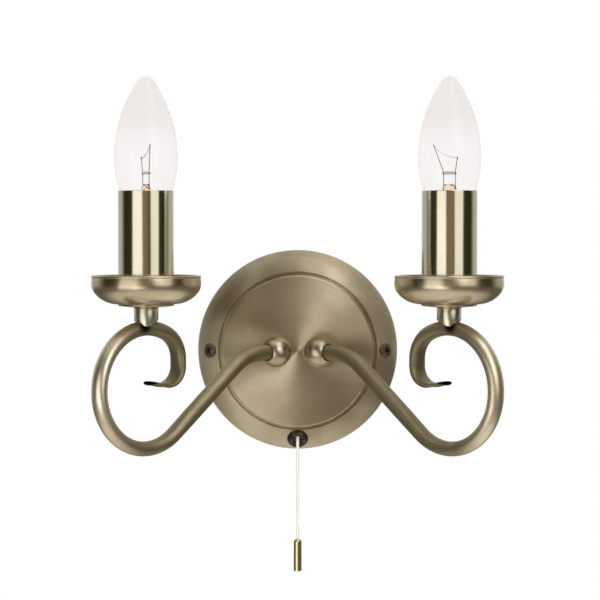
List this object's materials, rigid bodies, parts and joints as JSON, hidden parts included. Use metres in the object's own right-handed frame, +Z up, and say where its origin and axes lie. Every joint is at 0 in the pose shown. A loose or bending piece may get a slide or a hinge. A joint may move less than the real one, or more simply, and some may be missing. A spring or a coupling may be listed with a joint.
{
  "type": "wall light",
  "caption": "Twin-arm wall light: round plate, scroll arms with drip pans, candle tubes and clear candle lamps, pull-cord switch.",
  "frame": {"origin": "middle of the wall plate on the wall's face, between the bracket's two slots", "axes": "+Z up, -Y out from the wall into the room, +X to the right as seen from the room"},
  "size_m": [0.2286, 0.1292, 0.2886],
  "materials": {
    "disc_brass": "antique brass, fine circular brushing, satin",
    "antique_brass": "antique brass, satin lacquer",
    "polished_brass": "antique brass, polished, lacquered",
    "dark_bronze": "dark antique finish, mottled",
    "brass_fittings": "plain brass, turned",
    "zinc_steel": "zinc plated steel",
    "spring_steel": "bright drawn wire",
    "black_moulding": "black phenolic moulding",
    "white_nylon": "white nylon moulding",
    "wire_insulation": "brown soft insulation",
    "cord": "off-white braided nylon cord",
    "cap_metal": "nickel plated brass",
    "clear_glass": "clear glass"
  },
  "bodies": {
    "root": {"backplate": "disc_brass", "wall_bracket": "zinc_steel", "cover_screws": "dark_bronze", "earth_screw": "brass_fittings", "terminal_block": "white_nylon", "terminal_screws": "brass_fittings", "carrier_strip": "zinc_steel", "switch_body": "black_moulding", "switch_spring": "spring_steel", "switch_wires": "wire_insulation", "cord_ferrule": "dark_bronze", "knuckle_nuts": "brass_fittings", "candle_locknuts": "brass_fittings", "knuckle_left": "antique_brass", "arm_left": "antique_brass", "collar_left": "polished_brass", "arm_wires_left": "wire_insulation", "nipple_left": "brass_fittings", "pan_washer_left": "antique_brass", "drip_pan_left": "antique_brass", "tube_seat_left": "zinc_steel", "candle_tube_left": "polished_brass", "lampholder_left": "black_moulding", "socket_shell_left": "brass_fittings", "socket_contact_left": "brass_fittings", "knuckle_right": "antique_brass", "arm_right": "antique_brass", "collar_right": "polished_brass", "arm_wires_right": "wire_insulation", "nipple_right": "brass_fittings", "pan_washer_right": "antique_brass", "drip_pan_right": "antique_brass", "tube_seat_right": "zinc_steel", "candle_tube_right": "polished_brass", "lampholder_right": "black_moulding", "socket_shell_right": "brass_fittings", "socket_contact_right": "brass_fittings"},
    "pull": {"switch_plunger": "white_nylon", "pull_cord": "cord", "cord_toggle": "polished_brass"},
    "lamp_left": {"lamp_glass_left": "clear_glass", "lamp_cap_left": "cap_metal", "lamp_insulator_left": "black_moulding", "lamp_point_left": "cap_metal", "lamp_stem_left": "clear_glass", "lamp_leads_left": "spring_steel"},
    "lamp_right": {"lamp_glass_right": "clear_glass", "lamp_cap_right": "cap_metal", "lamp_insulator_right": "black_moulding", "lamp_point_right": "cap_metal", "lamp_stem_right": "clear_glass", "lamp_leads_right": "spring_steel"}
  },
  "joints": [
    {"name": "cord_pull", "type": "slide", "parent": "root", "child": "pull", "axis": [0, 0, -1], "range_m": [0, 0.0044], "stiffness_N_per_m": 350, "springref_m": -0.006, "deforming": ["switch_spring"]},
    {"name": "lamp_lift_left", "type": "slide", "parent": "root", "child": "lamp_left", "axis": [0, 0, 1], "range_m": [0, 0.036]},
    {"name": "lamp_lift_right", "type": "slide", "parent": "root", "child": "lamp_right", "axis": [0, 0, 1], "range_m": [0, 0.036]}
  ]
}
